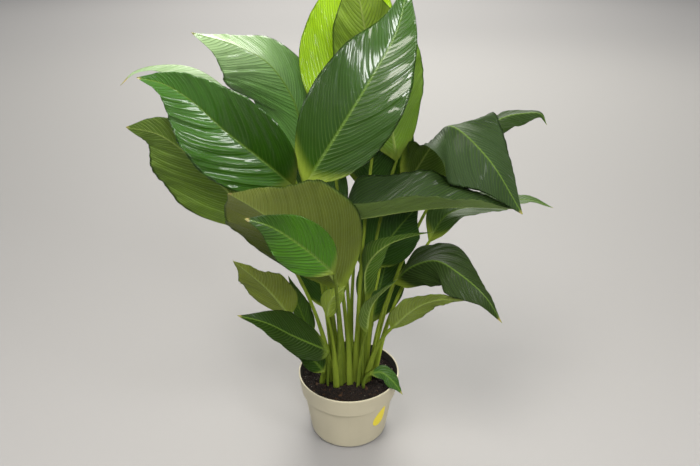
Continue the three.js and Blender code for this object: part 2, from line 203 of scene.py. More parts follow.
# Each leaf: where its stalk leaves the soil, the midrib from the knee to the tip, the way its
# upper side faces along the blade, the blade's width, how far its halves fold up in degrees, and
# each half's share of half the width where they differ. Millimetres.
leaves = {
    "leaf_front_tall": dict(
        foot=(-7, -25),
        rib=[(-65, -95, 540), (-10, -85, 625), (35, -65, 695), (70, -40, 755), (85, -20, 820)],
        face=[(0.3, -1, 0.4), (0.2, -1, 0.5)],
        width=134, fold=(-5, 18),
    ),
    "leaf_crown_young": dict(
        foot=(7, -10),
        rib=[(-35, 35, 595), (0, 80, 710), (45, 130, 850)],
        face=[(-0.1, -1, 0.2), (0, -1, 0.3)],
        width=156, fold=(8, 8),
    ),
    "leaf_crown_back": dict(
        foot=(12, -24),
        rib=[(45, 15, 600), (30, 10, 720), (5, -15, 845)],
        face=[(0.1, 1, 0.2), (0, 1, 0.2)],
        width=116, fold=(10, 10),
    ),
    "leaf_crown_right": dict(
        foot=(17, -14),
        rib=[(80, 30, 535), (70, 30, 610), (80, 35, 700), (95, 50, 780)],
        face=[(-0.2, 1, 0.2), (-0.2, 1, 0.2)],
        width=108, fold=(8, 8),
    ),
    "leaf_left_high": dict(
        foot=(-20, 6),
        rib=[(-90, 70, 520), (-85, 70, 605), (-125, 60, 685), (-175, 40, 720), (-235, 5, 745)],
        face=[(0, -1, 0.4), (0, -1, 0.4)],
        width=176, fold=(0, -40), tipFold=(0, -60), halves=(1, 0.7),
    ),
    "leaf_left_curled": dict(
        foot=(-30, -1),
        rib=[
            (-100, 15, 540), (-170, -5, 645), (-225, -30, 698),
            (-275, -45, 706), (-310, -55, 698), (-330, -60, 680),
        ],
        face=[(0, -0.5, 1), (0, -0.6, 1)],
        width=88, fold=(5, -55),
    ),
    "leaf_left_glossy": dict(
        foot=(-24, -12),
        rib=[
            (-85, -50, 520), (-130, -70, 570), (-180, -85, 620),
            (-220, -95, 665), (-255, -100, 690), (-290, -105, 700),
        ],
        face=[(-0.1, -1, 0.7), (0, -0.8, 1)],
        width=140, fold=(0, 50),
    ),
    "leaf_left_outer": dict(
        foot=(-30, -22),
        rib=[(-140, -20, 435), (-225, -35, 540), (-285, -45, 600), (-335, -50, 615)],
        face=[(0, 1, 0.2), (0.1, 1, 0.3)],
        width=168, fold=(4, 3),
    ),
    "leaf_centre_broad": dict(
        foot=(2, -32),
        rib=[
            (-10, -75, 345), (-60, -120, 440), (-110, -175, 520),
            (-135, -215, 560), (-150, -245, 585),
        ],
        face=[(-0.1, 1, -0.2), (-0.1, 1, -0.1)],
        width=196, fold=(0, 40),
    ),
    "leaf_front_young": dict(
        foot=(-15, -32),
        rib=[(-20, -205, 450), (-60, -225, 500), (-100, -245, 540), (-130, -255, 555)],
        face=[(-0.2, -1, 0.6), (0, -1, 0.7)],
        width=74, fold=(5, 10),
    ),
    "leaf_left_low": dict(
        foot=(-44, -13),
        rib=[(-100, -65, 290), (-130, -90, 355), (-155, -115, 400), (-175, -130, 430)],
        face=[(0.1, 1, 0.3), (0.1, 1, 0.4)],
        width=82, fold=(4, 8),
    ),
    "leaf_left_dark": dict(
        foot=(-39, -28),
        rib=[(-35, -62, 215), (-90, -105, 275), (-130, -140, 325), (-170, -158, 350)],
        face=[(0, -0.5, 1), (0, -0.7, 1)],
        width=80, fold=(8, 8),
    ),
    "leaf_left_small": dict(
        foot=(-49, -24),
        rib=[(-45, -35, 150), (-70, -45, 190), (-105, -60, 225)],
        face=[(-0.2, -0.7, 0.8), (0, -0.6, 1)],
        width=40, fold=(5, 5),
    ),
    "leaf_left_narrow": dict(
        foot=(-38, 9),
        rib=[(-70, 5, 200), (-90, -5, 270), (-105, -15, 340)],
        face=[(0.7, -0.8, 0.3), (0.7, -0.8, 0.3)],
        width=42, fold=(20, 20),
    ),
    "leaf_front_curled": dict(
        foot=(-23, -38),
        rib=[(-35, -85, 300), (-30, -95, 335), (-5, -110, 375)],
        face=[(0.4, 1, 0.3), (0.3, 1, 0.2)],
        width=36, fold=(10, 20),
    ),
    "leaf_right_folded": dict(
        foot=(1, -18),
        rib=[
            (-26, -48, 427), (0, -75, 470), (48, -85, 485),
            (110, -85, 495), (175, -75, 495), (265, -60, 485),
        ],
        face=[(0, -0.2, 1), (0, -0.2, 1)],
        width=118, fold=(38, 55), halves=(1.12, 0.95),
    ),
    "leaf_right_drooping": dict(
        foot=(30, -4),
        rib=[
            (94, 66, 470), (119, 68, 510), (140, 54, 555),
            (162, 12, 600), (215, -45, 565), (270, -80, 485),
        ],
        face=[(-0.2, 1, 0.3), (-0.5, 0.1, 0.9), (0.2, -1, 0.5)],
        width=152, fold=(-22, -20), halves=(1, 1.22),
    ),
    "leaf_right_high": dict(
        foot=(44, 14),
        rib=[(215, 120, 535), (270, 128, 580), (310, 128, 590), (340, 122, 590), (350, 112, 573)],
        face=[(-0.3, -0.5, 0.8), (0.3, -0.9, 0.5)],
        width=60, fold=(-50, 0),
    ),
    "leaf_right_reaching": dict(
        foot=(50, -4),
        rib=[(145, 40, 380), (175, 55, 425), (255, 70, 440), (325, 75, 445), (370, 75, 430)],
        face=[(0, -0.2, 1), (0, -0.2, 1)],
        width=75, fold=(5, 10),
    ),
    "leaf_right_narrow": dict(
        foot=(23, -24),
        rib=[(30, -45, 310), (30, -50, 375), (60, -60, 420), (100, -65, 440), (135, -70, 450)],
        face=[(0.8, 0.5, 0.6), (0, 0.4, 1)],
        width=46, fold=(30, 30),
    ),
    "leaf_right_low": dict(
        foot=(40, -13),
        rib=[
            (80, -5, 320), (105, -25, 362), (145, -50, 388),
            (180, -80, 380), (220, -100, 350), (250, -110, 305),
        ],
        face=[(-0.3, -0.6, 1), (0.5, -0.8, 0.6)],
        width=96, fold=(-35, -12),
    ),
    "leaf_right_pale": dict(
        foot=(34, -24),
        rib=[(75, -50, 255), (110, -75, 310), (140, -90, 335), (190, -105, 345)],
        face=[(-0.1, 1, 0.4), (-0.1, 1, 0.4)],
        width=58, fold=(0, 5),
    ),
    "leaf_front_folded": dict(
        foot=(18, -33),
        rib=[(30, -70, 260), (40, -75, 320), (80, -80, 370)],
        face=[(-0.8, 0.5, 0.6), (-0.8, 0.3, 0.6)],
        width=40, fold=(30, 30),
    ),
    "leaf_inner_right": dict(
        foot=(27, -14),
        rib=[(45, 15, 340), (65, 15, 385), (90, 20, 420), (120, 25, 455)],
        face=[(-0.3, -0.8, 0.4), (-0.3, -0.8, 0.4)],
        width=100, fold=(10, 10),
    ),
    "leaf_inner_front": dict(
        foot=(16, 0),
        rib=[(35, 55, 475), (40, 55, 540), (50, 70, 605)],
        face=[(0, -1, 0.3), (0, -1, 0.3)],
        width=80, fold=(10, 10),
    ),
    "leaf_inner_back": dict(
        foot=(23, 11),
        rib=[(80, 80, 455), (92, 85, 515), (112, 90, 580)],
        face=[(0, -1, 0.3), (0, -1, 0.3)],
        width=50, fold=(5, 5),
    ),
    "leaf_rim_small": dict(
        foot=(27, -36),
        rib=[(40, -40, 150), (60, -40, 152), (80, -52, 142), (98, -66, 122)],
        face=[(0, -0.3, 1), (0.6, -0.5, 0.6)],
        width=34, fold=(-10, -10),
    ),
    "leaf_soil_left": dict(
        foot=(-46, -1),
        rib=[(-50, -2, 135), (-65, 0, 145), (-85, -5, 142)],
        face=[(-0.2, -0.5, 1), (0, -0.5, 1)],
        width=30, fold=(5, 5),
    ),
    "leaf_back_left": dict(
        foot=(-12, 16),
        rib=[(-35, 60, 380), (-60, 110, 470), (-85, 160, 530), (-105, 200, 540)],
        face=[(0, -0.6, 0.8), (0.2, -0.3, 1)],
        width=110, fold=(8, 8),
    ),
    "leaf_back_right": dict(
        foot=(13, 18),
        rib=[(35, 60, 300), (60, 100, 375), (85, 145, 435), (105, 185, 450)],
        face=[(-0.2, -0.6, 0.8), (-0.2, -0.3, 1)],
        width=118, fold=(8, 8),
    ),
    "leaf_back_low_left": dict(
        foot=(-24, 18),
        rib=[(-32, 52, 225), (-52, 85, 300), (-78, 115, 350), (-104, 142, 362)],
        face=[(0.2, -0.5, 0.8), (0.2, -0.3, 1)],
        width=108, fold=(5, 5),
    ),
    "leaf_back_low_right": dict(
        foot=(34, 18),
        rib=[(45, 55, 200), (62, 82, 270), (82, 108, 330), (108, 135, 345)],
        face=[(-0.2, -0.5, 0.8), (-0.2, -0.3, 1)],
        width=100, fold=(5, 5),
    ),
    "leaf_back_tall": dict(
        foot=(2, 8),
        rib=[(20, 80, 470), (30, 115, 580), (40, 145, 680), (50, 165, 760)],
        face=[(0, -1, 0.3), (0, -1, 0.4)],
        width=105, fold=(8, 8),
    ),
}

leafForm = {
    "bladeSteps": 132,
    "stalkSteps": 40,
    "acrossSteps": 24,
    "thickness": 0.55,
    "midribDepth": 1.7,
    "midribGroove": 0.8,
    "veinSpacing": 8.5,
    "quiltHeight": 0.4,
    "quiltStart": 8,  # from the midrib, where the quilting has its full height
    "foldHeight": 0.55,
    "foldStart": 22,  # from the midrib, where the folds have their full height
    "foldRhythm": [(1 / 4.6, 1), (1 / 7.9, 0.8), (1 / 2.9, 0.5)],
    "marginWave": 0.006,  # share of the width
    "marginRhythm": [(34, 1), (57, 0.7), (93, 0.5)],
    "kneeShare": 0.07,  # of the blade's length, over which the stalk flattens into it
    "stalkFootRadius": 3.6,
    "stalkKneeRadius": 2.3,
    "sheath": (15, 170),  # heights over the soil between which the sheath fades out
    "sheathSpread": 0.75,
    "soilTop": 119.0,
    "plantingDepth": 8.0,
    "stalkDark": "#354e12",
    "stalkPale": "#7e912d",
    "dryColour": "#b59a63",
}

# The colours of a leaf's upper side and underside, what they turn into at the outer end (None: no
# change), how glossy it is, how much of the tip has dried, and how deep its folds are.
plainLook = dict(
    upper="#1c3c0e", under="#52682a", outer=None, outerUnder=None, gloss=0.4, dryTip=0.02, wrinkle=1.0
)
leafLooks = {
    "leaf_front_tall": dict(upper="#1a3a02", outer="#2c5604", gloss=1.0, wrinkle=1.2),
    "leaf_crown_young": dict(upper="#8db412", under="#93b422", outer="#9cc01a", gloss=0.4),
    "leaf_crown_back": dict(under="#6d8a28", outerUnder="#839c3a"),
    "leaf_crown_right": dict(under="#64842a", upper="#3c6424"),
    # leaf_left_high's pale upper and outer colours are painted sheen: the light its upward glossy face
    # reflects, painted into the colour over its own dark green.
    "leaf_left_high": dict(upper="#557d40", outer="#a4c08c", gloss=0.75, wrinkle=1.1),
    "leaf_left_curled": dict(upper="#8aa678", outer="#98b086", gloss=0.7, dryTip=0.06),
    "leaf_left_glossy": dict(upper="#2a5412", outer="#3a6a22", gloss=1.0, wrinkle=2.4),
    "leaf_left_outer": dict(under="#5a7426", outerUnder="#5c7430", wrinkle=1.3),
    "leaf_centre_broad": dict(under="#5f6a28", outerUnder="#8a9248", wrinkle=1.2),
    "leaf_front_young": dict(upper="#386808", outer="#122e05", under="#7fa53c", gloss=0.7, dryTip=0.05),
    "leaf_left_low": dict(under="#7c8836"),
    "leaf_left_dark": dict(upper="#142a05", gloss=0.5, dryTip=0.04),
    "leaf_left_small": dict(upper="#1f3c0c"),
    "leaf_left_narrow": dict(upper="#35501c"),
    "leaf_front_curled": dict(upper="#7c9c2c", under="#8a9c3e"),
    "leaf_right_folded": dict(upper="#1c3012", under="#6c8544", gloss=0.4),
    "leaf_right_drooping": dict(upper="#253620", under="#4e6622", gloss=0.25, wrinkle=1.2),
    "leaf_right_high": dict(upper="#1a2f0a", gloss=0.25),
    "leaf_right_reaching": dict(upper="#3c5822", under="#5a7630"),
    "leaf_right_narrow": dict(under="#466420"),
    "leaf_right_low": dict(upper="#1b290f", gloss=0.25, dryTip=0.05, wrinkle=1.2),
    "leaf_right_pale": dict(under="#7c8c3c", dryTip=0.04),
    "leaf_rim_small": dict(upper="#2c5214", dryTip=0.12),
}


# The upper side of a leaf: dark green with paler sunk side veins and a pale yellow-green midrib,
# quilted between the veins so that the gloss breaks into ribs. The underside is olive, with raised
# veins. Some light comes through from behind. The pattern follows the veins, 8.5 mm apart, with five
# fine ones to each.
def leafSkin(name, isUpper):
    material, tree = newMaterial(name)
    tint = attributeValue(tree, "tint", "Color")
    phase = attributeValue(tree, "veinPhase")
    fromMidrib = attributeValue(tree, "fromMidrib")
    midribHalf = attributeValue(tree, "midribHalf")
    gloss = attributeValue(tree, "gloss")
    stalk = attributeValue(tree, "stalk")
    onBlade = calculate(tree, "SUBTRACT", 1.0, stalk)
    uneven = noise(tree, 0.011, 4.0)
    broad = noise(tree, 0.055, 2.0)
    shifted = calculate(tree, "ADD", phase, calculate(tree, "MULTIPLY", broad, 0.9))
    swing = calculate(tree, "COSINE", calculate(tree, "MULTIPLY", shifted, 2 * math.pi))
    crest = calculate(tree, "POWER", calculate(tree, "MULTIPLY_ADD", swing, 0.5, 0.5), 9.0)
    fine = calculate(tree, "COSINE", calculate(tree, "MULTIPLY", shifted, 2 * math.pi * 5))
    midribEdge = calculate(tree, "MULTIPLY", midribHalf, 1.9)
    outward = addNode(
        tree, "ShaderNodeMapRange", {0: fromMidrib, 1: midribHalf, 2: midribEdge, 3: 1.0, 4: 0.0}
    ).outputs[0]
    midrib = calculate(tree, "MULTIPLY", outward, onBlade)
    crestOnBlade = calculate(tree, "MULTIPLY", crest, onBlade)
    veinShare = calculate(tree, "MULTIPLY", crestOnBlade, 0.34 if isUpper else 0.5)
    mottled = addNode(
        tree, "ShaderNodeHueSaturation",
        {
            "Hue": 0.5,
            "Saturation": calculate(tree, "MULTIPLY_ADD", uneven, 0.16, 0.94),
            "Value": calculate(tree, "MULTIPLY_ADD", broad, 0.7, 0.68),
            "Fac": 1.0,
            "Color": tint,
        },
    ).outputs[0]
    fineShare = calculate(tree, "MULTIPLY_ADD", fine, 0.05, 0.05)
    striped = mixColours(tree, fineShare, mottled, rgba("#6f8a3c" if isUpper else "#39502a"))
    veined = mixColours(tree, veinShare, striped, rgba("#5f8030" if isUpper else "#8a9c50"))
    ribbed = mixColours(
        tree, calculate(tree, "MULTIPLY", midrib, 0.7), veined, rgba("#64822c" if isUpper else "#9aac58")
    )
    streaks = calculate(tree, "MULTIPLY", noise(tree, 0.006, 3.0, stretch=(1, 1, 0.06)), 0.55)
    stalkColour = mixColours(tree, streaks, tint, rgba("#a3b342"))
    colour = mixColours(tree, stalk, ribbed, stalkColour)
    quilt = calculate(tree, "MULTIPLY", calculate(tree, "SUBTRACT", 1.0, crest), onBlade)
    height = calculate(
        tree, "ADD",
        calculate(tree, "MULTIPLY", quilt, 1.0 if isUpper else -0.8),
        calculate(tree, "MULTIPLY_ADD", fine, 0.07, calculate(tree, "MULTIPLY", uneven, 0.75)),
    )
    bump = addNode(tree, "ShaderNodeBump", {"Strength": 0.85, "Distance": 0.0009, "Height": height})
    evenRoughness = calculate(tree, "MULTIPLY_ADD", gloss, -0.36, 0.55 if isUpper else 0.6)
    roughness = calculate(tree, "MULTIPLY_ADD", uneven, 0.1, evenRoughness)
    glossSquared = calculate(tree, "POWER", gloss, 2.0)
    surface = addNode(
        tree, "ShaderNodeBsdfPrincipled",
        {
            "Base Color": colour,
            "Roughness": roughness,
            "Normal": bump.outputs[0],
            "Specular IOR Level": calculate(tree, "MULTIPLY_ADD", gloss, 0.2, 0.1),
            "Coat Weight": calculate(tree, "MULTIPLY", glossSquared, 0.6) if isUpper else 0.0,
            "Coat Roughness": 0.1,
        },
    )
    through = addNode(
        tree, "ShaderNodeBsdfTranslucent",
        {"Color": mixColours(tree, 0.5, colour, rgba("#9cc31c")), "Normal": bump.outputs[0]},
    )
    both = addNode(tree, "ShaderNodeMixShader", {0: 0.22, 1: surface.outputs[0], 2: through.outputs[0]})
    finishMaterial(tree, both.outputs[0])
    return material


# Half of the blade's width at share u of the midrib: (w/2) sin(pi u^0.53)^0.78, drawn out to a
# point by 1 - 0.5 ((u-0.5)/0.5)^1.3 past the middle.
def halfWidth(u, width):
    hump = np.clip(np.sin(np.pi * np.clip(u, 0, 1) ** 0.53), 0, None) ** 0.78
    return width / 2 * hump * (1 - 0.5 * np.clip((u - 0.5) / 0.5, 0, None) ** 1.3)


# The face direction at share u: straight between the leaf's listed directions.
def facing(face, u):
    listed = unit(np.array(face, float))
    place = np.linspace(0, 1, len(listed))
    return np.stack([np.interp(u, place, listed[:, k]) for k in range(3)], -1)


# Vectors turned by the smallest turn that takes unit vector a to each b, by Rodrigues' formula:
# c v + w x v + w (w.v) / (1 + c), with w = a x b and c = a.b.
def turnedWith(vector, a, b):
    w = np.cross(a, b)
    c = (a * b).sum(-1, keepdims=True)
    return c * vector + np.cross(w, vector) + w * (w * vector).sum(-1, keepdims=True) / (1 + c)


# Three sines over place, each with its own rhythm, size and turn, added up.
def threeSines(place, rhythms, turns):
    return sum(size * np.sin(pace * place + turn) for (pace, size), turn in zip(rhythms, turns))


# The places across a blade: v from 1 to -1 over the upper side and back over the underside, closer
# together near the midrib, and the side that each is on: 1 upper, -1 under, 0 on the margins.
def placesAcross():
    s = np.linspace(1, -1, 2 * leafForm["acrossSteps"] + 1)
    vTop = np.sign(s) * np.abs(s) ** 1.35
    v = np.concatenate([vTop, vTop[-2:0:-1]])
    upperFace = np.concatenate([np.ones(len(vTop)), -np.ones(len(vTop) - 2)])
    upperFace[[0, len(vTop) - 1]] = 0
    return v, upperFace


# How far the blade's surface waves out of its two flat halves, in millimetres: a long ripple of
# 3% of the width that grows as |v|^2, margin waves that grow as |v|^3, folds along the side veins,
# and less the quilting between the veins and the groove over the midrib.
def bladeWaves(leaf, look, index, u, reach, side, fromMidrib, swept, onRib):
    form = leafForm
    rng = np.random.default_rng(100 + index)
    turns = rng.uniform(0, 6.28, (3, 2))[:, side][:, None]
    ripple = 0.03 * leaf["width"] * reach**2 * np.sin(np.pi * u) * np.sin(16.3 * u + 1.7 * side[None])
    margin = form["marginWave"] * leaf["width"] * reach**3 * np.sin(np.pi * np.clip(u * 1.1, 0, 1))
    margin = margin * threeSines(u, form["marginRhythm"], turns)
    veinRun = swept / form["veinSpacing"] + 0.5 * side[None]
    quilt = form["quiltHeight"] * np.cos(2 * np.pi * veinRun) * np.clip(fromMidrib / form["quiltStart"], 0, 1)
    quilt = quilt * np.clip((1 - reach) * 5, 0.25, 1) * np.sin(np.pi * np.clip(u, 0.02, 0.98)) ** 0.5
    foldFade = np.clip(fromMidrib / form["foldStart"], 0, 1) * np.sin(np.pi * np.clip(u, 0, 1)) ** 0.6
    folds = form["foldHeight"] * look["wrinkle"] * threeSines(swept, form["foldRhythm"], turns) * foldFade
    return ripple + margin + folds - quilt - form["midribGroove"] * onRib, veinRun


# The blade's rings, the line and directions of its midrib, and each point's place in the pattern.
# P(u, v) = rib(u) + right h v cos(fold) + normal (h |v| sin(fold) + waves + half the thickness)
# + along h (0.3|v| + 0.35 v^2), so that the cross lines lean forward. A side vein runs where
# u length - h (0.62|v| + 0.5 v^2) stays the same.
def growBlade(leaf, look, index, v, upperFace):
    form = leafForm
    shareAlong = np.linspace(0, 1, form["bladeSteps"]) ** 1.12
    rib, along, length = throughPoints(leaf["rib"], shareAlong)
    normal = facing(leaf["face"], shareAlong)
    normal = unit(normal - along * (normal * along).sum(-1, keepdims=True))
    right = np.cross(along, normal)
    u, reach, side = shareAlong[:, None], np.abs(v)[None], np.where(v < 0, 0, 1)
    shares = np.array(leaf.get("halves", (1, 1)))[side][None]
    half = np.maximum(halfWidth(shareAlong, leaf["width"]), 0.35)[:, None] * shares
    foldStart = np.array(leaf["fold"])[side][None]
    foldEnd = np.array(leaf.get("tipFold", leaf["fold"]))[side][None]
    fold = np.radians(foldStart * (1 - u) + foldEnd * u)
    fromMidrib = half * reach
    swept = u * length - half * (0.62 * reach + 0.5 * reach**2)
    ribWidth = 1.3 + 1.4 * (1 - u)
    onRib = np.exp(-((fromMidrib / ribWidth) ** 2)) * (1 - u) ** 0.8
    waved, veinRun = bladeWaves(leaf, look, index, u, reach, side, fromMidrib, swept, onRib)
    lift = half * reach * np.sin(fold) + waved
    nearKnee = np.clip(1 - u / form["kneeShare"], 0, 1)
    kneeThick = nearKnee**1.5 * form["stalkKneeRadius"] * (1 - reach**2) ** 0.5
    thick = form["thickness"] / 2 * (1 - 0.55 * reach) + kneeThick
    thick = thick + np.where(upperFace < 0, form["midribDepth"] * onRib * (1 - nearKnee), 0)
    blade = (
        rib[:, None]
        + right[:, None] * (half * v[None] * np.cos(fold))[..., None]
        + normal[:, None] * (lift + upperFace[None] * thick)[..., None]
        + along[:, None] * (half * (0.3 * reach + 0.35 * reach**2))[..., None]
    )
    return blade * mm, (rib[0], along[0], normal[0]), u, veinRun, fromMidrib


# The blade's colours: each side's own, turning into its outer colour over the last 70% of the
# length, then dry at the tip, and into the stalk's colour over the first tenth.
def tintBlade(look, u, reach, upperFace, kneeFade, stalkTint):
    endMix = smoothStep(0.3, 1, u * np.ones(reach.shape))[..., None]
    upper, under = linear(look["upper"]), linear(look["under"])
    outer = linear(look["outer"] or look["upper"])
    outerUnder = linear(look["outerUnder"] or look["under"])
    topTint = upper * (1 - endMix) + outer * endMix
    lowTint = under * (1 - endMix) + outerUnder * endMix
    tint = np.where((upperFace >= 0)[None, :, None], topTint, lowTint)
    tipEdge = u + 0.006 * np.sin(40 * reach)
    dry = smoothStep(1 - look["dryTip"], 1 - look["dryTip"] * 0.6, tipEdge)[..., None]
    tint = tint * (1 - dry) + linear(leafForm["dryColour"]) * dry
    tint = np.concatenate([tint, np.ones((*tint.shape[:2], 1))], -1)
    return tint * (1 - kneeFade[..., None]) + stalkTint * kneeFade[..., None]


# One leaf in one skin: the stalk's rings, then the blade's, with the leaf's look on its vertices.
def growLeaf(name, leaf, skins, index):
    form = leafForm
    look = {**plainLook, **leafLooks.get(name, {})}
    v, upperFace = placesAcross()
    blade, knee, u, veinRun, fromMidrib = growBlade(leaf, look, index, v, upperFace)
    stalk = growStalk(leaf, *knee, v, upperFace, index)
    joinSteps = 5  # rings of the blade that the stalk's end stands for
    rings = np.concatenate([stalk, blade[joinSteps:]])
    onStalk, onBlade = np.ones((len(stalk), len(v))), np.ones((len(blade), len(v)))

    def spread(values):  # 0 on the stalk, values on the blade
        return np.concatenate([0 * onStalk, (values * onBlade)[joinSteps:]])

    pale = np.random.default_rng(300 + index).uniform() ** 1.5
    darkStalk, paleStalk = linear(form["stalkDark"]), linear(form["stalkPale"])
    stalkTint = onStalk[..., None] * np.append(darkStalk * (1 - pale) + paleStalk * pale, 1)
    kneeFade = 1 - smoothStep(0.02, 0.1, u) * onBlade
    tint = tintBlade(look, u, np.abs(v)[None], upperFace, kneeFade, stalkTint[:1])
    attributes = {
        "tint": np.concatenate([stalkTint, tint[joinSteps:]]),
        "veinPhase": spread(veinRun),
        "fromMidrib": spread(fromMidrib),
        "midribHalf": spread(0.5 + 1.25 * (1 - u)),
        "gloss": spread(look["gloss"]),
        "stalk": np.concatenate([onStalk, kneeFade[joinSteps:]]),
    }
    isTop = np.concatenate([upperFace[:-1] + upperFace[1:], [upperFace[-1]]]) > 0
    faceSlots = np.where(isTop, 0, 1)[None].repeat(len(rings) - 1, 0)
    piece = pieceFromRings(name + "_grown", rings, skins, faceSlots, attributes)
    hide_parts(name)
    return piece


# The stalk's rings, from the buried foot to the knee: the line is the quadratic Bezier of foot,
# bend and knee; the radius tapers, swells by 22% just under the knee, and widens to a flat sheath
# near the soil. A shallow groove runs up the front.
def growStalk(leaf, knee, bladeAlong, bladeNormal, v, upperFace, index):
    form = leafForm
    start = np.array([*leaf["foot"], form["soilTop"] + 4])
    lean = knee - start
    bend = start + lean * (0.2, 0.2, 0.6)
    t = np.linspace(0, 1, form["stalkSteps"])[:, None]
    line = start * (1 - t) ** 2 + bend * 2 * t * (1 - t) + knee * t**2
    direction = unit(2 * (1 - t) * (bend - start) + 2 * t * (knee - bend))
    turn = smoothStep(0.86, 1, t)
    direction = unit(direction * (1 - turn) + bladeAlong * turn)
    line = np.vstack([[*leaf["foot"], form["soilTop"] - form["plantingDepth"] + 1], line])
    direction = np.vstack([[0, 0, 1], direction])
    t = np.vstack([[0], t])
    normal = unit(turnedWith(bladeNormal, bladeAlong, direction))
    right = np.cross(direction, normal)
    radius = form["stalkFootRadius"] + (form["stalkKneeRadius"] - form["stalkFootRadius"]) * t
    radius = radius * (1 + 0.22 * np.exp(-(((t - 0.94) / 0.04) ** 2)))
    height = line[:, 2:3] - form["soilTop"]
    sheath = 1 - smoothStep(*form["sheath"], height)
    angle = np.where(upperFace > 0, np.arccos(np.clip(v, -1, 1)), -np.arccos(np.clip(v, -1, 1)))[None]
    groove = 1 - 0.14 * np.exp(-(((angle - np.pi / 2) / 0.5) ** 2)) * (1 - sheath)
    across = radius * (1 + form["sheathSpread"] * sheath) * np.cos(angle)
    deep = radius * (1 - 0.18 * sheath) * np.sin(angle) * groove
    wobble = 0.5 * np.sin(height / 41 + index) * np.clip(height / 60, 0, 1) * (1 - t)
    line = line + right * wobble
    return (line[:, None] + right[:, None] * across[..., None] + normal[:, None] * deep[..., None]) * mm


matureSkins = [
    leafSkin("mature leaf, waxy upper side", True),
    leafSkin("mature leaf, olive underside", False),
]
for index, (leafName, leafShape) in enumerate(leaves.items()):
    growLeaf(leafName, leafShape, matureSkins, index)
print("leaves:", len(leaves))


potForm = {
    "height": 129, "rim": 95, "bandBottom": 91, "step": 4.5, "bodyTop": 85.5, "foot": 64, "fillet": 8,
    "wall": 2, "lip": 3, "lipRise": 1.2, "sides": 240, "pad": 34, "rise": 4, "groove": 56,
    "holes": 8, "holeRadius": 5, "holeCircle": 46,
    "outside": "#bab298", "inside": "#1d1c1b",
}


# Moulded plastic, dull with a faint grain, and the two mould seams down the front and back: the
# seam is a ridge 0.8 mm wide where |x| is small. Handling marks change the roughness in patches.
def mouldedPlastic(name, hexColour, roughness):
    material, tree = newMaterial(name)
    patches = noise(tree, 0.05, 4.0)
    grain = noise(tree, 0.0012, 2.0)
    place = addNode(tree, "ShaderNodeTexCoord").outputs["Object"]
    fromSeam = calculate(tree, "ABSOLUTE", addNode(tree, "ShaderNodeSeparateXYZ", {0: place}).outputs[0])
    seam = addNode(tree, "ShaderNodeMapRange", {0: fromSeam, 1: 0.0002, 2: 0.0008, 3: 1.0, 4: 0.0}).outputs[0]
    height = calculate(tree, "MULTIPLY_ADD", grain, 0.06, calculate(tree, "MULTIPLY", seam, 0.6))
    bump = addNode(tree, "ShaderNodeBump", {"Strength": 0.5, "Distance": 0.0005, "Height": height})
    colour = mixColours(tree, calculate(tree, "MULTIPLY", patches, 0.16), rgba(hexColour), rgba("#8d8470"))
    surface = addNode(
        tree, "ShaderNodeBsdfPrincipled",
        {
            "Base Color": colour,
            "Roughness": calculate(tree, "MULTIPLY_ADD", patches, 0.15, roughness),
            "Normal": bump.outputs[0],
            "Specular IOR Level": 0.4,
        },
    )
    finishMaterial(tree, surface.outputs[0])
    return material


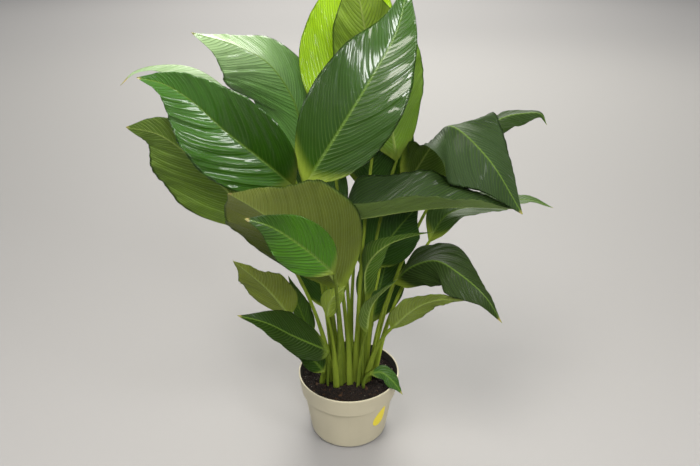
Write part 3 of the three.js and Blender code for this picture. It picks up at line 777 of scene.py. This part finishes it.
# The pot is a profile turned about Z: foot with a sunk groove, rounded edge, tapered body, step,
# rim band, rolled lip and the dark inside. Drain holes are cut through the floor of the groove.
def mouldPot():
    form = potForm
    bodyFoot = form["foot"] + form["fillet"]

    def taper(z):
        return bodyFoot + (form["bodyTop"] - bodyFoot) * z / form["bandBottom"]

    top, rim, bandBottom = form["height"], form["rim"], form["bandBottom"]
    pad, rise, groove = form["pad"], form["rise"], form["groove"]
    inner = rim - form["lip"]
    floorTop = rise + form["wall"]
    turn = np.linspace(0, np.pi / 2, 9)
    filletTop = taper(form["fillet"])
    filletAcross = form["foot"] + (filletTop - form["foot"]) * np.sin(turn)
    fillet = np.stack([filletAcross, form["fillet"] * (1 - np.cos(turn))], -1)
    bandFoot = form["bodyTop"] + form["step"]
    lipTurn = np.linspace(0, np.pi, 9)
    lipAcross = (rim + inner) / 2 + (rim - inner) / 2 * np.cos(lipTurn)
    lip = np.stack([lipAcross, top + form["lipRise"] * (np.sin(lipTurn) - 1)], -1)
    bodyHeights = np.linspace(12, bandBottom - 3, 8)
    outside = np.vstack(
        [
            [[0.5, 0], [pad - 0.5, 0], [pad + 0.3, 0.5], [pad + 1.6, rise - 0.3], [pad + 2.4, rise]],
            [[groove - 0.4, rise], [groove + 1.6, 0.3], [groove + 2.2, 0]],
            fillet,
            np.stack([taper(bodyHeights), bodyHeights], -1),
            [[form["bodyTop"] - 0.1, bandBottom - 0.7], [form["bodyTop"] + 0.5, bandBottom - 0.1]],
            [[bandFoot - 0.6, bandBottom + 0.1], [bandFoot - 0.05, bandBottom + 0.7]],
            [[bandFoot + 0.1, bandBottom + 2]],
            [[rim - 0.9, top - 7], [rim - 0.2, top - 3.4]],
            lip,
        ]
    )
    inside = np.array(
        [
            [inner - 0.3, top - 6], [bandFoot - form["wall"] - 1, bandBottom + 3],
            [form["bodyTop"] - form["wall"], bandBottom - 1], [filletTop - 4, floorTop + 3],
            [filletTop - 8, floorTop], [0.5, floorTop],
        ]
    )
    profile = np.vstack([outside, inside])
    angle = np.linspace(0, 2 * np.pi, form["sides"], endpoint=False)
    r, z = profile[:, None, 0], profile[:, None, 1]
    rings = np.stack([r * np.cos(angle), r * np.sin(angle), z + 0 * angle], -1) * mm
    skins = [mouldedPlastic("moulded polypropylene, greige", form["outside"], 0.5),
             mouldedPlastic("moulded polypropylene, black inside", form["inside"], 0.55)]
    slots = np.where(np.arange(len(profile) - 1) >= len(outside) - 1, 1, 0)[:, None].repeat(form["sides"], 1)
    pot = pieceFromRings("pot_moulded", rings, skins, slots)
    holes = drillsFor(form, floorTop)
    cut = pot.modifiers.new("drain holes", "BOOLEAN")
    cut.operation, cut.object, cut.solver = "DIFFERENCE", holes, "EXACT"
    depsgraph = bpy.context.evaluated_depsgraph_get()
    drilled = bpy.data.meshes.new_from_object(pot.evaluated_get(depsgraph))
    pot.modifiers.clear()
    pot.data = drilled
    bpy.data.objects.remove(holes)
    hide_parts("pot")
    return pot


# Eight upright cylinders on the hole circle, in one mesh that is only used to cut.
def drillsFor(form, floorTop):
    turn = (np.arange(form["holes"]) + 0.5) * 2 * np.pi / form["holes"]
    holeSides = 24
    around = np.linspace(0, 2 * np.pi, holeSides, endpoint=False)
    points, faces = [], []
    for k, one in enumerate(turn):
        x = form["holeCircle"] * np.cos(one) + form["holeRadius"] * np.cos(around)
        y = form["holeCircle"] * np.sin(one) + form["holeRadius"] * np.sin(around)
        points += [*np.stack([x, y, 0 * x - 1], -1), *np.stack([x, y, 0 * x + floorTop + 1], -1)]
        low = np.arange(holeSides) + 2 * k * holeSides
        high = low + holeSides
        faces += [low[::-1].tolist(), high.tolist()]
        faces += np.stack([low, np.roll(low, -1), np.roll(high, -1), high], -1).tolist()
    mesh = bpy.data.meshes.new("drills")
    mesh.from_pydata((np.array(points) * mm).tolist(), [], faces)
    drills = bpy.data.objects.new("drills", mesh)
    bpy.context.scene.collection.objects.link(drills)
    return drills


mouldPot()
print("pot: done")


soilForm = {
    "edge": 113, "mound": 119, "radius": 89.5,
    "wall": [[86.6, 94.5], [82.8, 90], [68.4, 10], [64, 7], [1, 7]],  # radius, height: inside the pot
    # name: how many, size, stretch, material's name, its dark and light colour, roughness, patch size
    "lumps": {
        "peat_crumbs": (5200, 1.15, (1, 0.9, 0.75), "peat crumbs", "#0b0908", "#352619", 0.9, 0.003),
        "bark_chips": (150, 1.5, (2.6, 1.3, 0.5), "shredded bark", "#22150d", "#54381f", 0.85, 0.002),
        "peat_fibres": (110, 0.32, (13, 0.8, 0.6), "peat fibres", "#3b2a1b", "#7a5e40", 0.9, 0.002),
        "light_flecks": (90, 0.62, (1, 0.9, 0.8), "perlite flecks", "#8f8573", "#cfc6b4", 0.9, 0.001),
    },
    "seed": 11,
    "reach": 0.985,  # share of the radius that the lumps lie in
}


# Damp peat: near black, with brown patches a few millimetres across, and dull all over.
def peat(name, darkHex, lightHex, roughness, patchSize):
    material, tree = newMaterial(name)
    patches = noise(tree, patchSize, 5.0, 0.7)
    contrast = addNode(tree, "ShaderNodeMapRange", {0: patches, 1: 0.35, 2: 0.75}).outputs[0]
    bump = addNode(tree, "ShaderNodeBump", {"Strength": 0.9, "Distance": 0.001, "Height": patches})
    surface = addNode(
        tree, "ShaderNodeBsdfPrincipled",
        {
            "Base Color": mixColours(tree, contrast, rgba(darkHex), rgba(lightHex)),
            "Roughness": roughness,
            "Normal": bump.outputs[0],
            "Specular IOR Level": 0.3,
        },
    )
    finishMaterial(tree, surface.outputs[0])
    return material


# The soil's top: edge + (mound - edge) cos(pi r / 2R)^1.5, roughened by waves of 18 and 5 mm.
def soilTop(x, y):
    form = soilForm
    r = np.hypot(x, y)
    dome = np.cos(np.pi / 2 * np.clip(r / form["radius"], 0, 1)) ** 1.5
    flat = np.stack([x, y], -1)
    rough = 1.1 * waves(flat, 18, 24, 3) + 0.6 * waves(flat, 5, 40, 4)
    return form["edge"] + (form["mound"] - form["edge"]) * dome + rough


# The soil: the top's rings out to the pot's inside, then down its wall to a flat bottom.
def fillSoil():
    form = soilForm
    angle = np.linspace(0, 2 * np.pi, 300, endpoint=False)
    r = np.linspace(1, form["radius"], 110)[:, None]
    x, y = r * np.cos(angle), r * np.sin(angle)
    top = np.stack([x, y, soilTop(x, y)], -1)
    wall = np.array(form["wall"])
    low = np.stack(
        [wall[:, :1] * np.cos(angle), wall[:, :1] * np.sin(angle), wall[:, 1:] + 0 * angle], -1
    )
    rings = np.concatenate([top, low])[::-1] * mm
    soil = pieceFromRings("peat_soil", rings, [peat("damp peat", "#0b0908", "#261b15", 0.95, 0.004)])
    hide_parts("potting_soil")


# Many small lumps in one mesh: each is an octahedron with its six corners pushed in and out,
# stretched, turned at random and laid on the soil, partly sunk.
def scatter(name, count, size, stretch, material, seed):
    rng = np.random.default_rng(seed)
    corners = np.array([[1, 0, 0], [0, 1, 0], [-1, 0, 0], [0, -1, 0], [0, 0, 1], [0, 0, -1]], float)
    upper = [[0, 1, 4], [1, 2, 4], [2, 3, 4], [3, 0, 4]]
    lower = [[1, 0, 5], [2, 1, 5], [3, 2, 5], [0, 3, 5]]
    triangles = np.array(upper + lower)
    shape = corners * rng.uniform(0.55, 1.35, (count, 6, 1)) * np.array(stretch)
    shape = shape * (size * rng.lognormal(0, 0.42, (count, 1, 1)))
    q = unit(rng.normal(size=(count, 4)))
    if stretch[0] > 2:
        q[:, 1:3] *= 0.25
        q = unit(q)
    w, a = q[:, None, :1], np.broadcast_to(q[:, None, 1:], shape.shape)
    shape = shape + 2 * np.cross(a, np.cross(a, shape) + w * shape)
    r = soilForm["radius"] * soilForm["reach"] * np.sqrt(rng.uniform(0, 1, count))
    turn = rng.uniform(0, 2 * np.pi, count)
    x, y = r * np.cos(turn), r * np.sin(turn)
    z = soilTop(x, y) + rng.uniform(-0.3, 0.5, count) * size * 0.7
    points = (shape + np.stack([x, y, z], -1)[:, None]) * mm
    faces = (triangles[None] + 6 * np.arange(count)[:, None, None]).reshape(-1, 3)
    mesh = bpy.data.meshes.new(name)
    mesh.from_pydata(points.reshape(-1, 3), [], faces)
    mesh.materials.append(material)
    piece = bpy.data.objects.new(name, mesh)
    bpy.context.scene.collection.objects.link(piece)
    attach(piece, "root")
    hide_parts("potting_soil")


fillSoil()
for order, (name, (count, size, stretch, *finish)) in enumerate(soilForm["lumps"].items()):
    scatter(name, count, size, stretch, peat(*finish), soilForm["seed"] + order)
print("soil: done")


stickerForm = {
    "length": 46, "width": 34, "lift": 0.12, "thickness": 0.16, "azimuth": -44, "height": 66, "lean": 25,
    "colour": "#e2cf2a",
}


# A drop laid round the pot under the band: outline x = (w/2) sin(t) sin(t/2), y = (l/2) cos(t),
# leaned, and wrapped on the taper by the same formula as the pot's own.
def stickSticker():
    form, potSize = stickerForm, potForm
    turn = np.linspace(0, 2 * np.pi, 72, endpoint=False)
    across = form["width"] / 2 * np.sin(turn) * np.sin(turn / 2)
    up = form["length"] / 2 * np.cos(turn)
    lean = math.radians(form["lean"])
    bodyFoot = potSize["foot"] + potSize["fillet"]

    def ring(lift, shrink):
        x = shrink * (across * math.cos(lean) + up * math.sin(lean))
        z = form["height"] + shrink * (up * math.cos(lean) - across * math.sin(lean))
        radius = bodyFoot + (potSize["bodyTop"] - bodyFoot) * z / potSize["bandBottom"] + lift
        angle = math.radians(form["azimuth"]) + x / radius
        return np.stack([radius * np.cos(angle), radius * np.sin(angle), z], -1)

    shares = np.linspace(0.04, 1, 14)
    rings = [ring(form["lift"], k) for k in shares]
    rings += [ring(form["lift"] + form["thickness"], k) for k in shares[::-1]]
    material, tree = newMaterial("printed sticker film, yellow")
    surface = addNode(
        tree, "ShaderNodeBsdfPrincipled", {"Base Color": rgba(form["colour"]), "Roughness": 0.42}
    )
    finishMaterial(tree, surface.outputs[0])
    sticker = pieceFromRings("drop_sticker", np.array(rings) * mm, [material])
    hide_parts("sticker")


stickSticker()
print("sticker: done")


stageForm = {
    "floor": "#8d8b89", "floorHalf": 15, "floorDrop": 0.0005, "world": "#e2e5ec", "worldStrength": 0.4,
    "lens": 32.7, "cameraPlace": (0.0024, -0.984, 0.879), "cameraDown": 25.24,
    # name: place, the point it faces, side, power, colour
    "lights": {
        "overhead": ((-0.35, -0.7, 2.1), (0, 0, 0.45), 0.7, 32, "#fffaf2"),
        "front_high": ((0.3, -1.6, 1.6), (0, 0, 0.6), 0.4, 20, "#ffffff"),
        "left_window": ((-1.9, -1.0, 1.5), (0, 0, 0.45), 1.2, 14, "#f4f8ff"),
        "right_window": ((1.35, -1.15, 1.4), (0, 0, 0.5), 0.45, 17, "#ffffff"),
        "behind": ((0.4, 3.2, 3.4), (0, 0.9, 0.3), 3.5, 190, "#fffdf4"),
        "far_floor": ((0, 8.5, 4.5), (0, 8.4, 0), 6, 650, "#fffdf8"),
    },
}


# A square of plain pale floor, half a millimetre under the pot.
def layFloor():
    mesh = bpy.data.meshes.new("floor")
    half, drop = stageForm["floorHalf"], stageForm["floorDrop"]
    corners = [(half * x, half * y, -drop) for x, y in ((-1, -1), (1, -1), (1, 1), (-1, 1))]
    mesh.from_pydata(corners, [], [(0, 1, 2, 3)])
    material, tree = newMaterial("painted floor")
    paint = {"Base Color": rgba(stageForm["floor"]), "Roughness": 0.7}
    surface = addNode(tree, "ShaderNodeBsdfPrincipled", paint)
    finishMaterial(tree, surface.outputs[0])
    mesh.materials.append(material)
    floor = bpy.data.objects.new("floor", mesh)
    bpy.context.scene.collection.objects.link(floor)


# A square soft light at a place, turned to face a point.
def softLight(name, place, target, side, power, hexColour):
    light = bpy.data.lights.new(name, "AREA")
    light.shape, light.size, light.energy, light.color = "SQUARE", side, power, linear(hexColour)
    lamp = bpy.data.objects.new(name, light)
    lamp.location = place
    away = np.array(place) - np.array(target)
    flat = math.hypot(away[0], away[1])
    lamp.rotation_euler = (math.atan2(flat, away[2]), 0, math.atan2(away[1], away[0]) + math.pi / 2)
    bpy.context.scene.collection.objects.link(lamp)


layFloor()
for name, light in stageForm["lights"].items():
    softLight(name, *light)
world = bpy.data.worlds.new("studio")
world.use_nodes = True
background = world.node_tree.nodes["Background"]
background.inputs[0].default_value = rgba(stageForm["world"])
background.inputs[1].default_value = stageForm["worldStrength"]
bpy.context.scene.world = world
bpy.context.scene.view_settings.view_transform = "Standard"

lens = bpy.data.cameras.new("camera")
lens.lens, lens.sensor_width, lens.clip_start = stageForm["lens"], 36, 0.01
camera = bpy.data.objects.new("camera", lens)
camera.location = stageForm["cameraPlace"]
camera.rotation_euler = (math.radians(90 - stageForm["cameraDown"]), 0, 0)
bpy.context.scene.collection.objects.link(camera)
bpy.context.scene.camera = camera
